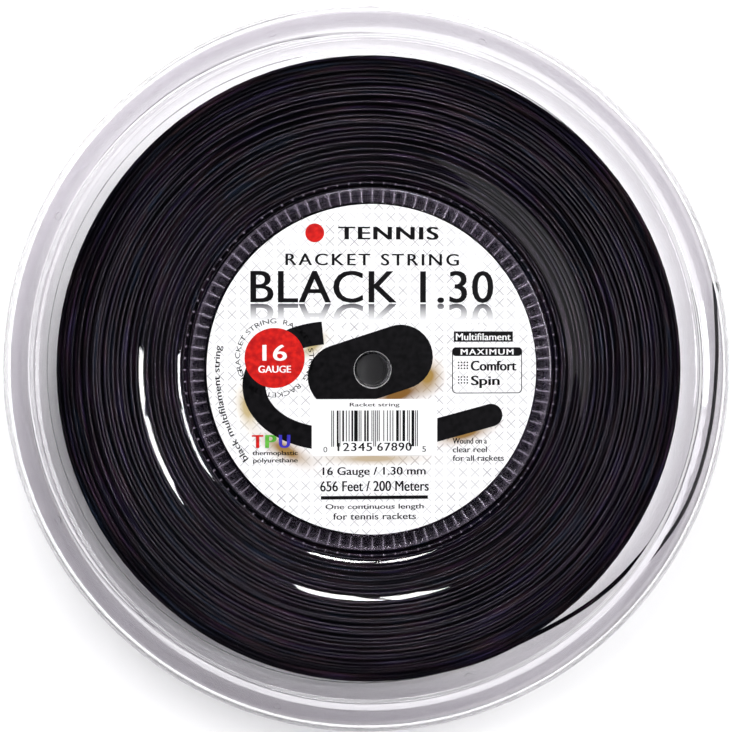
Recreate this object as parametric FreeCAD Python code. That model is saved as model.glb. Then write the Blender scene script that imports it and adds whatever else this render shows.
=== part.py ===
"""String reel: two clear moulded flanges on a ribbed hub, with racket string wound between them.

Millimetres, +Z up. The reel lies flat, label side up. The origin is on the reel's axis, at the
level of the rear flange's rest bead, and +Y is the way up for a reader of the label.
"""
import FreeCAD, Part
import math
import os

# Driving dimensions of the reel
OUTER_RADIUS = 105.0
HALF_THICKNESS = 14.0
RIM_SLIT = 3.0
WALL = 1.6
RIM_WALL = 2.0

# Recessed hub disc and the dished web around it, as heights above the middle plane
HUB_FACE = 8.5
WEB_FACE = 13.5
DISH_INNER_RADIUS = 53.5
DISH_INFLECTION_RADIUS = 58.7
DISH_OUTER_RADIUS = 70.0

# Raised rest bead, then the cone that falls to the rim
BEAD_INNER_RADIUS = 94.0
BEAD_CROWN_RADIUS = 95.4
BEAD_OUTER_RADIUS = 97.2
CONE_FOOT_RADIUS = 104.0
CONE_FOOT_HEIGHT = 8.9
INNER_CONE_TOP_RADIUS = 95.8
INNER_CONE_FOOT_RADIUS = 102.2
INNER_CONE_FOOT_HEIGHT = 8.4
RIM_SHOULDER = 1.5
LIP_CHAMFER = 0.3

# Spindle bore and its boss
BORE_RADIUS = 4.5
BORE_CHAMFER = 0.6
BOSS_RADIUS = 7.0

# Shallow round mould marks on the cone: angle in degrees and radius
MOULD_MARKS = ((71.7, 98.6), (154.0, 98.8), (254.0, 100.0))
MOULD_MARK_RADIUS = 1.15
MOULD_MARK_DEPTH = 0.25

# Core that carries the string: a drum with a collar of small cells at each end,
# and the spigots that hold it
CORE_INNER_RADIUS = 46.2
DRUM_RADIUS = 47.6
COLLAR_RADIUS = 52.4
COLLAR_HEIGHT = 2.6
CELL_COUNT = 100
CELL_WIDTH = 2.1
CELL_INNER_RADIUS = 48.3
CELL_OUTER_RADIUS = 51.5
CORE_END_CLEARANCE = 0.05
SPIGOT_CLEARANCE = 0.1
SPIGOT_WALL = 1.5
SPIGOT_LENGTH = 3.0

# Label and barcode sticker
LABEL_RADIUS = 47.5
LABEL_HOLE_RADIUS = 5.3
LABEL_THICKNESS = 0.15
STICKER_WIDTH = 36.2
STICKER_HEIGHT = 16.3
STICKER_CENTRE = (0.6, -16.6)
STICKER_CORNER = 0.6
STICKER_THICKNESS = 0.1

# String
STRING_DIAMETER = 1.3
WINDING_RADIUS = 89.6
WINDING_CLEARANCE = 0.05

# Free end of the string: angle in degrees and radius of each corner of its route,
# from the winding's last turn, across to the rim and out into the slit
TAIL_ROUTE = (
    (298.0, 90.5),
    (308.0, 91.4),
    (318.0, 93.4),
    (327.0, 95.7),
    (334.0, 98.4),
    (341.0, 99.6),
    (350.0, 100.4),
    (359.0, 100.9),
    (367.0, 102.0),
    (374.0, 103.5),
)
ARC_SHARE = 0.45

CENTRE = FreeCAD.Vector(0, 0, HALF_THICKNESS)
UP = FreeCAD.Vector(0, 0, 1)


def section_point(radius, height):
    """A point of a section, from its radius and its height above the middle plane."""
    return FreeCAD.Vector(radius, 0, HALF_THICKNESS + height)


def polar_point(angle, radius, height=0.0):
    """A point from its angle round the axis, radius and height above the middle plane."""
    turn = math.radians(angle)
    return FreeCAD.Vector(radius * math.cos(turn), radius * math.sin(turn), HALF_THICKNESS + height)


def lines(points):
    """Straight edges through the points."""
    return [Part.LineSegment(start, end).toShape() for start, end in zip(points, points[1:])]


def s_curve(start, end, share, offset=0.0):
    """Two tangent arcs from a flat at start to a flat at end, moved down by offset.

    Share is how much of the horizontal run the first arc takes."""
    run = end[0] - start[0]
    rise = end[1] - start[1]
    turn = 2 * math.atan(rise / run)
    first_radius = share * run / math.sin(turn) + offset
    second_radius = (1 - share) * run / math.sin(turn) - offset
    first_centre = (start[0], start[1] - offset + first_radius)
    second_centre = (end[0], end[1] - offset - second_radius)
    points = [
        (first_centre[0] + first_radius * math.sin(part * turn),
         first_centre[1] - first_radius * math.cos(part * turn))
        for part in (0, 0.5, 1)
    ] + [
        (second_centre[0] - second_radius * math.sin(part * turn),
         second_centre[1] + second_radius * math.cos(part * turn))
        for part in (0.5, 0)
    ]
    places = [section_point(*point) for point in points]
    return [Part.Arc(*places[0:3]).toShape(), Part.Arc(*places[2:5]).toShape()]


def dish_curve(offset=0.0):
    """The dish between hub disc and web, at a depth of offset under its outer skin."""
    share = (DISH_INFLECTION_RADIUS - DISH_INNER_RADIUS) / (DISH_OUTER_RADIUS - DISH_INNER_RADIUS)
    return s_curve((DISH_INNER_RADIUS, HUB_FACE), (DISH_OUTER_RADIUS, WEB_FACE), share, offset)


def bead_curve():
    """The soft step from the web up to the crown of the rest bead."""
    return s_curve((BEAD_INNER_RADIUS, WEB_FACE), (BEAD_CROWN_RADIUS, HALF_THICKNESS), 0.5)


def revolved(edges):
    """The closed section, turned about the reel's axis."""
    wire = Part.Wire(Part.sortEdges(edges)[0])
    return Part.Face(wire).revolve(FreeCAD.Vector(0, 0, 0), UP, 360)


def annulus(inner_radius, outer_radius, bottom, thickness):
    """A flat ring that starts at the height bottom above the middle plane."""
    base = FreeCAD.Vector(0, 0, HALF_THICKNESS + bottom)
    disc = Part.makeCylinder(outer_radius, thickness, base)
    return disc.cut(Part.makeCylinder(inner_radius, thickness, base))


def shoulder_arc(start, middle_height, end):
    """The rounded corner between the cone and the upright rim wall."""
    middle = ((start[0] + 2 * end[0]) / 3, middle_height)
    return Part.Arc(section_point(*start), section_point(*middle), section_point(*end)).toShape()


def flange_section():
    """The outline of the front flange, from the bore out to the rim and back inside."""
    slit = RIM_SLIT / 2
    inner_rim = OUTER_RADIUS - RIM_WALL
    hub_inside = HUB_FACE - WALL
    web_inside = WEB_FACE - WALL
    spigot_outer = CORE_INNER_RADIUS - SPIGOT_CLEARANCE
    spigot_inner = spigot_outer - SPIGOT_WALL
    shoulder_foot = CONE_FOOT_HEIGHT - RIM_SHOULDER
    inner_shoulder_foot = INNER_CONE_FOOT_HEIGHT - RIM_SHOULDER
    edges = lines([
        section_point(BORE_RADIUS, 0),
        section_point(BORE_RADIUS, HUB_FACE - BORE_CHAMFER),
        section_point(BORE_RADIUS + BORE_CHAMFER, HUB_FACE),
        section_point(DISH_INNER_RADIUS, HUB_FACE),
    ])
    edges += dish_curve()
    edges += lines([
        section_point(DISH_OUTER_RADIUS, WEB_FACE),
        section_point(BEAD_INNER_RADIUS, WEB_FACE),
    ])
    edges += bead_curve()
    edges += lines([
        section_point(BEAD_CROWN_RADIUS, HALF_THICKNESS),
        section_point(BEAD_OUTER_RADIUS, HALF_THICKNESS),
        section_point(CONE_FOOT_RADIUS, CONE_FOOT_HEIGHT),
    ])
    edges.append(shoulder_arc(
        (CONE_FOOT_RADIUS, CONE_FOOT_HEIGHT),
        CONE_FOOT_HEIGHT - RIM_SHOULDER / 2,
        (OUTER_RADIUS, shoulder_foot),
    ))
    edges += lines([
        section_point(OUTER_RADIUS, shoulder_foot),
        section_point(OUTER_RADIUS, slit + LIP_CHAMFER),
        section_point(OUTER_RADIUS - LIP_CHAMFER, slit),
        section_point(inner_rim + LIP_CHAMFER, slit),
        section_point(inner_rim, slit + LIP_CHAMFER),
        section_point(inner_rim, inner_shoulder_foot),
    ])
    edges.append(shoulder_arc(
        (INNER_CONE_FOOT_RADIUS, INNER_CONE_FOOT_HEIGHT),
        INNER_CONE_FOOT_HEIGHT - RIM_SHOULDER / 2,
        (inner_rim, inner_shoulder_foot),
    ))
    edges += lines([
        section_point(INNER_CONE_FOOT_RADIUS, INNER_CONE_FOOT_HEIGHT),
        section_point(INNER_CONE_TOP_RADIUS, web_inside),
        section_point(DISH_OUTER_RADIUS, web_inside),
    ])
    edges += dish_curve(WALL)
    edges += lines([
        section_point(DISH_INNER_RADIUS, hub_inside),
        section_point(spigot_outer, hub_inside),
        section_point(spigot_outer, hub_inside - SPIGOT_LENGTH),
        section_point(spigot_inner, hub_inside - SPIGOT_LENGTH),
        section_point(spigot_inner, hub_inside),
        section_point(BOSS_RADIUS, hub_inside),
        section_point(BOSS_RADIUS, 0),
        section_point(BORE_RADIUS, 0),
    ])
    return edges


def mould_mark(angle, radius):
    """A shallow round pocket, square to the cone's outer skin."""
    drop = HALF_THICKNESS - CONE_FOOT_HEIGHT
    run = CONE_FOOT_RADIUS - BEAD_OUTER_RADIUS
    slope = math.atan2(drop, run)
    skin_height = HALF_THICKNESS - (radius - BEAD_OUTER_RADIUS) * math.tan(slope)
    around = math.radians(angle)
    outward = FreeCAD.Vector(
        math.sin(slope) * math.cos(around),
        math.sin(slope) * math.sin(around),
        math.cos(slope),
    )
    floor = polar_point(angle, radius, skin_height) - outward * MOULD_MARK_DEPTH
    return Part.makeCylinder(MOULD_MARK_RADIUS, 2 * MOULD_MARK_DEPTH, floor, outward)


def front_flange():
    """The half of the clear reel that carries the label."""
    flange = revolved(flange_section())
    for angle, radius in MOULD_MARKS:
        flange = flange.cut(mould_mark(angle, radius))
    return flange


def rear_flange():
    """The other half, from the same mould, turned over about the X axis."""
    flange = front_flange()
    flange.rotate(CENTRE, FreeCAD.Vector(1, 0, 0), 180)
    return flange


def cell_outline(angle, bottom):
    """One cell between two ribs: flat towards the axis and round at its outer end."""
    half_width = CELL_WIDTH / 2
    straight_end = CELL_OUTER_RADIUS - half_width
    corners = [
        FreeCAD.Vector(straight_end, -half_width, bottom),
        FreeCAD.Vector(CELL_INNER_RADIUS, -half_width, bottom),
        FreeCAD.Vector(CELL_INNER_RADIUS, half_width, bottom),
        FreeCAD.Vector(straight_end, half_width, bottom),
    ]
    tip = FreeCAD.Vector(CELL_OUTER_RADIUS, 0, bottom)
    wire = Part.Wire(lines(corners) + [Part.Arc(corners[3], tip, corners[0]).toShape()])
    wire.rotate(FreeCAD.Vector(0, 0, 0), UP, angle)
    return wire


def collar(bottom):
    """A flat ring with a circle of open cells, whose underside is at the height bottom."""
    base = FreeCAD.Vector(0, 0, bottom)
    outlines = [
        Part.Wire(Part.makeCircle(COLLAR_RADIUS, base)),
        Part.Wire(Part.makeCircle(CORE_INNER_RADIUS, base)),
    ]
    outlines += [cell_outline(360 * index / CELL_COUNT, bottom) for index in range(CELL_COUNT)]
    face = Part.Face(outlines, "Part::FaceMakerBullseye")
    return face.extrude(UP * COLLAR_HEIGHT)


def hub_core():
    """The drum that the string is wound on, between its two collars of cells."""
    half_height = HUB_FACE - WALL - CORE_END_CLEARANCE
    drum_half = half_height - COLLAR_HEIGHT
    drum = annulus(CORE_INNER_RADIUS, DRUM_RADIUS, -drum_half, 2 * drum_half)
    lower = collar(HALF_THICKNESS - half_height)
    upper = collar(HALF_THICKNESS + drum_half)
    return drum.fuse([lower, upper]).removeSplitter()


def string_winding():
    """The outer shape of all the wound string, filling the space between the flanges."""
    drum_side = DRUM_RADIUS + WINDING_CLEARANCE
    collar_side = COLLAR_RADIUS + WINDING_CLEARANCE
    depth = WALL + WINDING_CLEARANCE
    half_hub = HUB_FACE - depth
    half_web = WEB_FACE - depth
    half_drum = HUB_FACE - WALL - CORE_END_CLEARANCE - COLLAR_HEIGHT - WINDING_CLEARANCE
    upper = lines([
        section_point(drum_side, 0),
        section_point(drum_side, half_drum),
        section_point(collar_side, half_drum),
        section_point(collar_side, half_hub),
        section_point(DISH_INNER_RADIUS, half_hub),
    ])
    upper += dish_curve(depth)
    upper += lines([
        section_point(DISH_OUTER_RADIUS, half_web),
        section_point(WINDING_RADIUS, half_web),
        section_point(WINDING_RADIUS, 0),
        section_point(drum_side, 0),
    ])
    half = revolved(upper)
    return half.fuse(half.mirror(CENTRE, UP)).removeSplitter()


def tail_edges(points):
    """Straight runs through the points, joined by arcs as large as the runs allow."""
    edges = []
    radii = []
    start = points[0]
    for before, corner, after in zip(points, points[1:], points[2:]):
        incoming = (corner - before).normalize()
        outgoing = (after - corner).normalize()
        turn = incoming.getAngle(outgoing)
        setback = ARC_SHARE * min((corner - before).Length, (after - corner).Length)
        radius = setback / math.tan(turn / 2)
        arc_start = corner - incoming * setback
        arc_end = corner + outgoing * setback
        inward = (outgoing - incoming).normalize()
        arc_middle = corner + inward * (radius / math.cos(turn / 2) - radius)
        edges.append(Part.LineSegment(start, arc_start).toShape())
        edges.append(Part.Arc(arc_start, arc_middle, arc_end).toShape())
        radii.append(radius)
        start = arc_end
    edges.append(Part.LineSegment(start, points[-1]).toShape())
    return edges, radii


def string_tail():
    """The free end of the string, from the last turn to its cut end in the rim's slit."""
    points = [polar_point(angle, radius) for angle, radius in TAIL_ROUTE]
    edges, radii = tail_edges(points)
    path = Part.Wire(edges)
    direction = points[1] - points[0]
    profile = Part.Wire(Part.makeCircle(STRING_DIAMETER / 2, points[0], direction))
    tube = path.makePipeShell([profile], True, True)
    section = math.pi * STRING_DIAMETER ** 2 / 4
    print("tail length %.1f mm, radii %s mm" % (path.Length, [round(radius) for radius in radii]))
    print("tail volume %.2f of %.2f mm3" % (tube.Volume, section * path.Length))
    return tube


def front_label():
    """The round paper label on the front hub disc."""
    return annulus(LABEL_HOLE_RADIUS, LABEL_RADIUS, HUB_FACE, LABEL_THICKNESS)


def barcode_sticker():
    """The small rectangular sticker on the label, with rounded corners."""
    corner = FreeCAD.Vector(
        STICKER_CENTRE[0] - STICKER_WIDTH / 2,
        STICKER_CENTRE[1] - STICKER_HEIGHT / 2,
        HALF_THICKNESS + HUB_FACE + LABEL_THICKNESS,
    )
    sheet = Part.makeBox(STICKER_WIDTH, STICKER_HEIGHT, STICKER_THICKNESS, corner)
    upright = [edge for edge in sheet.Edges if abs(edge.tangentAt(edge.FirstParameter).z) > 0.9]
    return sheet.makeFillet(STICKER_CORNER, upright)


NODES = {
    "front_flange": front_flange,
    "rear_flange": rear_flange,
    "hub_core": hub_core,
    "string_winding": string_winding,
    "string_tail": string_tail,
    "front_label": front_label,
    "barcode_sticker": barcode_sticker,
}

os.makedirs("parts", exist_ok=True)
for name, make in NODES.items():
    shape = make()
    solid = shape.Solids[0] if len(shape.Solids) == 1 else shape
    print(name, len(shape.Solids), "solid", solid.isValid(), "%.1f mm3" % solid.Volume)
    solid.exportStep("parts/%s.step" % name)
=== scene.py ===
"""The looks of the string reel: clear flanges, wound string, printed label and a pale studio."""
import bmesh
import bpy
import numpy as np
from math import atan, atan2, ceil, cos, dist, hypot, pi, radians, sin, sqrt, tau
from mathutils import Matrix, Vector


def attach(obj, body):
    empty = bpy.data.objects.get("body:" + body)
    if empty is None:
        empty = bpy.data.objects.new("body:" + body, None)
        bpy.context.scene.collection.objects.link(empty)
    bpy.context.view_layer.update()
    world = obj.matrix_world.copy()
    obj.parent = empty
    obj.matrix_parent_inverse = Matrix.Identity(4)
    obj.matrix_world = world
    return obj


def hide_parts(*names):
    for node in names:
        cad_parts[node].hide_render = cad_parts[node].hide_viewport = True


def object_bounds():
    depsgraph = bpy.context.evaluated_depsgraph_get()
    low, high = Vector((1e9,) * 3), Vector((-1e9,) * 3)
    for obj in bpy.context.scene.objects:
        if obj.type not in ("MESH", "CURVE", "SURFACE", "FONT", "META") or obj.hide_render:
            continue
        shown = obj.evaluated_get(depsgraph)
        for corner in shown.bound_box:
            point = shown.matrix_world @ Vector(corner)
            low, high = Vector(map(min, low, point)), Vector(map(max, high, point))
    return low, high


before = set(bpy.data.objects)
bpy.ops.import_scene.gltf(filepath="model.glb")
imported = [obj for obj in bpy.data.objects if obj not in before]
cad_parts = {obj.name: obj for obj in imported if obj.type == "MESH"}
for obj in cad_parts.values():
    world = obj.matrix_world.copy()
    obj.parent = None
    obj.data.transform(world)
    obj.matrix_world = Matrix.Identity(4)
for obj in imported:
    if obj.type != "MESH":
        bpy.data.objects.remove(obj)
CAD_LOW, CAD_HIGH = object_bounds()

# Scale and planes, in metres
MM = 0.001
MID = (CAD_LOW.z + CAD_HIGH.z) / 2
HALF_THICKNESS = MID / MM

# Section of one flange, in millimetres: radii, and heights above the middle plane
OUTER_RADIUS = 104.9
RIM_WALL = 1.9
RIM_SLIT = 3.0
WALL = 1.6
HUB_FACE = 8.5
WEB_FACE = 13.5
DISH_INNER_RADIUS = 53.5
DISH_INFLECTION_RADIUS = 58.7
DISH_OUTER_RADIUS = 70.0
BEAD_INNER_RADIUS = 94.0
BEAD_CROWN_RADIUS = 95.4
BEAD_OUTER_RADIUS = 97.2
CONE_FOOT = (104.0, 8.9)
INNER_CONE_TOP_RADIUS = 95.8
INNER_CONE_FOOT = (102.2, 8.4)
RIM_SHOULDER = 1.5
SHOULDER_INSET = 0.25
CONE_EASE = 0.1
EDGE_ROUND = 0.3
BORE_RADIUS = 4.5
BORE_CHAMFER = 0.6
BOSS_RADIUS = 7.0
SPIGOT_OUTER = 46.1
SPIGOT_INNER = 44.6
SPIGOT_LENGTH = 3.0
CLEARANCE = 0.06
FLANGE_SEGMENTS = 360
ARC_STEP = radians(3)

# Shallow round mould marks on the cone: angle in degrees and radius
MOULD_MARKS = ((71.7, 98.6), (154.0, 98.8), (254.0, 100.0))
MOULD_MARK_RADIUS = 1.15
MOULD_MARK_DEPTH = 0.25

# The core and the rings of cells at its ends, in millimetres
DRUM_INNER_RADIUS = 46.2
DRUM_OUTER_RADIUS = 47.55
COLLAR_OUTER_RADIUS = 52.35
COLLAR_TOP = 6.83
COLLAR_BOTTOM = 4.27
COLLAR_ROUND = 0.35
CELL_COUNT = 100
CELL_WIDTH = 2.1
CELL_INNER_RADIUS = 48.25
CELL_OUTER_RADIUS = 51.55
CELL_FLOOR = 0.08
WALL_ROUND = 0.35
WALL_FOOT = 0.06
PIP_RADIUS = 53.8
PIP_HEIGHT = 6.5
PIP_SIZE = 0.36

# Where the collar's mesh has its points: radii, and places across half a wall as shares of its width
COLLAR_RADII = (
    46.3, 46.4, 46.6, 47.6, 48.0, 48.2, 48.3, 48.42, 49.2, 50.0, 50.45,
    50.9, 51.15, 51.35, 51.45, 51.5, 51.62, 51.8, 52.0, 52.15, 52.25, 52.3,
)
HALF_WALL_SHARES = (0.0, 0.35, 0.62, 0.82, 0.94, 1.0)
CLOSED_WALL_SHARE = 0.45

# The string and its winding, in millimetres; a drift is a sum of waves of (amount, rate, phase)
STRING_RADIUS = 0.65
FIRST_LAYER_RADIUS = 48.35
LAYER_PITCH = 1.16
LAYER_COUNT = 36
TURN_PITCH = 1.538
COLLAR_RADIUS = 52.45
COLLAR_INNER_FACE = 4.25
RADIAL_DRIFT = ((0.20, 0.71, 0.4), (0.15, 1.83, 2.1), (0.08, 3.37, 4.0), (0.03, 7.9, 1.2))
AXIAL_DRIFT = ((0.30, 0.53, 1.7), (0.22, 1.31, 0.3), (0.10, 4.10, 2.6))
TURN_STEPS = 96
CLOSING_STEPS = 33
SECTION_SIDES = 8

# The winding's end and the free end, by angle in degrees and radius
LAST_LAYER_END = 236.0
TAIL_ROUTE = (
    (298.0, 92.0),
    (308.0, 94.4),
    (318.0, 96.7),
    (326.0, 97.9),
    (333.0, 99.9),
    (340.0, 100.7),
    (349.0, 100.8),
    (359.0, 100.9),
    (367.0, 101.8),
    (374.0, 103.5),
)

# Label and sticker, in millimetres
LABEL_RADIUS = 47.5
LABEL_HOLE_RADIUS = 5.3
LABEL_THICKNESS = 0.15
LABEL_TOP = HUB_FACE + LABEL_THICKNESS
LABEL_SEGMENTS = 256
LATTICE_CELL = 3.5
STICKER_TOP = LABEL_TOP + 0.1
PRINT_STEP = 0.02

# Soft shades on the label: centre, size, angle in degrees and colour
LABEL_SHADES = (
    ((7.5, -7.2), (19, 6.0), 20, (0.17, 0.075, 0.008)),
    ((16.0, -2.0), (7, 9), -25, (0.30, 0.18, 0.04)),
    ((-36.0, -11.0), (5.0, 11), 14, (0.46, 0.36, 0.18)),
    ((-25.0, -23.0), (15, 5), -30, (0.28, 0.16, 0.04)),
    ((27.0, -18.6), (15, 4.2), 16, (0.24, 0.13, 0.03)),
    ((-17.0, 7.0), (9, 4), 42, (0.40, 0.32, 0.15)),
    ((0.0, -25.6), (26, 3.2), 0, (0.44, 0.35, 0.24)),
)

# Lines of text: words, centre X and Y, width, height, boldness and letter spacing
BIG_LINE = ("BLACK 1.30", 0.0, 23.8, 70.0, 9.2, 0.35, 1.05)
BLACK_LINES = (
    BIG_LINE,
    ("TENNIS", 4.6, 39.2, 29.0, 3.7, 0.55, 1.15),
    ("RACKET STRING", 0.0, 31.6, 50.0, 3.4, 0.22, 1.25),
    ("thermoplastic", -28.0, -24.0, 13.0, 1.7, 0.12),
    ("polyurethane", -27.9, -26.1, 12.8, 1.7, 0.12),
    ("Comfort", 35.1, 1.1, 13.4, 2.9, 0.3),
    ("Spin", 32.7, -3.6, 8.4, 3.6, 0.3),
    ("Wound on a", 28.2, -20.6, 10.0, 1.7, 0.1),
    ("clear reel", 28.2, -23.1, 10.0, 1.7, 0.1),
    ("for all rackets", 30.7, -25.6, 15.0, 1.7, 0.1),
    ("16 Gauge / 1.30 mm", 0.5, -29.5, 29.8, 3.0, 0.16),
    ("656 Feet / 200 Meters", 0.6, -33.5, 31.4, 3.0, 0.16),
    ("One continuous length", 0.6, -39.6, 28.4, 1.9, 0.1),
    ("for tennis rackets", 0.6, -42.2, 24.0, 1.9, 0.1),
)
WHITE_LINES = (
    ("16", -28.1, 4.9, 7.0, 4.6, 0.3),
    ("GAUGE", -28.1, 0.2, 9.4, 2.0, 0.16),
    ("Multifilament", 32.1, 9.45, 16.0, 2.0, 0.12),
    ("MAXIMUM", 33.2, 5.1, 15.4, 1.6, 0.16, 1.2),
)
STICKER_LINES = (
    ("12345", -5.1, -22.2, 10.0, 2.4, 0.14, 1.1),
    ("67890", 6.3, -22.2, 10.0, 2.4, 0.14, 1.1),
    ("0", -13.6, -22.9, 1.1, 1.6),
    ("5", 14.9, -22.9, 1.1, 1.6),
    ("Racket string", 0.6, -10.2, 14.4, 1.4, 0.08),
)
COLOURED_LETTERS = (
    ("red", ("T", -33.0, -20.5, 3.3, 3.7, 0.5)),
    ("green", ("P", -29.2, -20.5, 3.3, 3.7, 0.5)),
    ("blue", ("U", -25.3, -20.5, 3.3, 3.7, 0.5)),
)
MIRRORED_LINE_HEIGHT = 14.4
BADGE = (-28.1, 3.4)

# The two tones of each ink
INKS = {
    "black": ((0.0012, 0.0012, 0.0016), (0.0050, 0.0046, 0.0056)),
    "white": ((0.74, 0.74, 0.75), (0.82, 0.82, 0.82)),
    "red": ((0.36, 0.006, 0.007), (0.60, 0.014, 0.010)),
    "green": ((0.07, 0.30, 0.03), (0.12, 0.42, 0.05)),
    "blue": ((0.025, 0.02, 0.30), (0.05, 0.04, 0.45)),
}

# Widths of the bars and gaps of each digit in a retail barcode, and of its marks, in modules
DIGIT_MODULES = ("3211", "2221", "2122", "1411", "1132", "1231", "1114", "1312", "1213", "3112")
END_GUARD = "111"
MIDDLE_GUARD = "11111"
SAMPLE_DIGITS = "012345678905"
BARCODE_MODULES = 95
BARCODE_LEFT = -11.9
BARCODE_WIDTH = 25.0
BARCODE_TOP = -11.7
BARCODE_FOOT = -20.6
BARCODE_GUARD_FOOT = -22.1

# Looks that change with the distance from the axis, in millimetres
RAMP_REACH = 110.0
# the rim between these radii gets a greyer tint, a painted shade in place of the darker view through its
# sloped walls
RIM_PAINTED_SHADE_RADII = (94.0, 99.5, 102.2, 103.4)
RIM_EDGE_RADIUS = 103.8
RIM_EDGE_CLEARNESS = 0.5
# the core's cloud and its painted highlights start at this radius
CLOUD_AND_HIGHLIGHT_INNER_RADIUS = 48.4
# the turns between these radii shine less and less outwards, a painted shade on the outer turns
PAINTED_SHADE_TURN_RADII = (79.0, 88.0)

# Plastic and string
PLASTIC_IOR = 1.59
STRING_IOR = 1.55
CREST_UPWARDNESS = (0.87, 0.95)

# Lamps: azimuth and tilt off the vertical in degrees; widths, depths and distances in metres
SOFTBOXES = {
    "softbox_right_a": (-2, 20.0, 0.34, 0.62),
    "softbox_right_b": (13.5, 20.8, 0.50, 0.62),
    "softbox_top_a": (64, 17.2, 0.47, 0.60),
    "softbox_top_b": (83, 15.8, 0.31, 0.60),
}
SOFTBOX_DISTANCE = 5.0
SOFTBOX_RADIANCE = 13.0
FILLS = ((55, 42, 10.3), (140, 40, 4.6))
FILL_DISTANCE = 2.2
FILL_SIZE = (1.6, 1.2)
WORLD_STRENGTH = 1.3
FLOOR_HALF_WIDTH = 8.0
FLOOR_GAP = 0.0001

# Camera, half a metre above the reel and a little to its left
CAMERA_PLACE = (-0.0394, 0.0114, 0.4983)
CAMERA_LENS = 84.08
CAMERA_SHIFT = (-0.0064, 0.0041)


# ---- node helpers

def new_material(name):
    """A new node material, with its tree, its Principled shader and its output."""
    material = bpy.data.materials.new(name)
    material.use_nodes = True
    tree = material.node_tree
    return material, tree, tree.nodes["Principled BSDF"], tree.nodes["Material Output"]


def feed(socket, value):
    """Joins an input to another node's output, or sets it to a number, a vector or a colour."""
    if isinstance(value, bpy.types.NodeSocket):
        socket.id_data.links.new(value, socket)
    elif socket.type == "RGBA":
        socket.default_value = (*value, 1)
    else:
        socket.default_value = value


def set_inputs(node, **values):
    """Feeds inputs by name, with underscores for spaces."""
    for name, value in values.items():
        feed(node.inputs[name.replace("_", " ")], value)


def new_node(tree, kind, **values):
    """A new shader node with its inputs fed."""
    node = tree.nodes.new("ShaderNode" + kind)
    set_inputs(node, **values)
    return node


def calculate(operation, first, second=None):
    """A Math node on sockets or numbers, with a socket among them."""
    any_socket = first if isinstance(first, bpy.types.NodeSocket) else second
    node = new_node(any_socket.id_data, "Math")
    node.operation = operation
    for socket, value in zip(node.inputs, (first, second)):
        if value is not None:
            feed(socket, value)
    return node.outputs["Value"]


def place(tree, scale=(1, 1, 1)):
    """Object coordinates, scaled."""
    source = new_node(tree, "TexCoord").outputs["Object"]
    return new_node(tree, "Mapping", Vector=source, Scale=scale).outputs["Vector"]


def parts(vector):
    """The X, Y and Z of a vector."""
    return new_node(vector.id_data, "SeparateXYZ", Vector=vector).outputs


def upwardness(tree):
    """The Z of the surface's normal: one where it faces straight up, minus one straight down."""
    return parts(new_node(tree, "NewGeometry").outputs["Normal"])["Z"]


def axis_distance(tree):
    """The distance from the reel's axis, and the X and Y that it comes from."""
    x, y, _ = parts(place(tree))
    square = calculate("ADD", calculate("MULTIPLY", x, x), calculate("MULTIPLY", y, y))
    return calculate("SQRT", square), x, y


def noise(tree, scale, detail=2.0, vector=None):
    """A noise texture's value, in object coordinates unless a vector is given."""
    vector = vector or place(tree)
    return new_node(tree, "TexNoise", Scale=scale, Detail=detail, Vector=vector).outputs["Fac"]


def spread(value, low, high, start=0.3, end=0.7):
    """The value, from its range of start to end, spread over low to high."""
    node = new_node(value.id_data, "MapRange", Value=value)
    set_inputs(node, From_Min=start, From_Max=end, To_Min=low, To_Max=high)
    return node.outputs["Result"]


def ramp(value, stops):
    """A colour ramp through stops of (position, colour)."""
    node = new_node(value.id_data, "ValToRGB", Fac=value)
    elements = node.color_ramp.elements
    while len(elements) < len(stops):
        elements.new(0.5)
    for element, (position, colour) in zip(elements, stops):
        element.position = position
        element.color = (*colour, 1)
    return node.outputs["Color"]


def ramp_by_radius(tree, radii, colours):
    """A colour ramp outwards from the reel's axis, with its stops at radii in millimetres."""
    share = calculate("MULTIPLY", axis_distance(tree)[0], 1 / (RAMP_REACH * MM))
    return ramp(share, [(radius / RAMP_REACH, colour) for radius, colour in zip(radii, colours)])


def noisy_ramp(tree, scale, detail, low, high, start=0.3, end=0.7):
    """Two close tones broken up by a noise."""
    return ramp(noise(tree, scale, detail), ((start, low), (end, high)))


def mix_colour(share, first, second):
    """Two colours, sockets or values, mixed by the share in a socket."""
    node = new_node(share.id_data, "Mix")
    node.data_type = "RGBA"
    for socket, value in zip((node.inputs[0], node.inputs[6], node.inputs[7]), (share, first, second)):
        feed(socket, value)
    return node.outputs[2]


def bump(shader, height, strength, distance):
    """Joins a height to the shader's normal."""
    node = new_node(shader.id_data, "Bump", Height=height, Strength=strength, Distance=distance)
    set_inputs(shader, Normal=node.outputs["Normal"])


def let_lamps_through(shader, output, tint, thin=0.0):
    """Shadow rays, and a thin share of the others, pass straight through with a tint."""
    tree = shader.id_data
    mixer = new_node(tree, "MixShader")
    is_shadow = new_node(tree, "LightPath").outputs["Is Shadow Ray"]
    feed(mixer.inputs["Fac"], calculate("MAXIMUM", is_shadow, thin))
    feed(mixer.inputs[1], shader.outputs["BSDF"])
    feed(mixer.inputs[2], new_node(tree, "BsdfTransparent", Color=tint).outputs["BSDF"])
    feed(output.inputs["Surface"], mixer.outputs["Shader"])


# ---- materials

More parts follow.
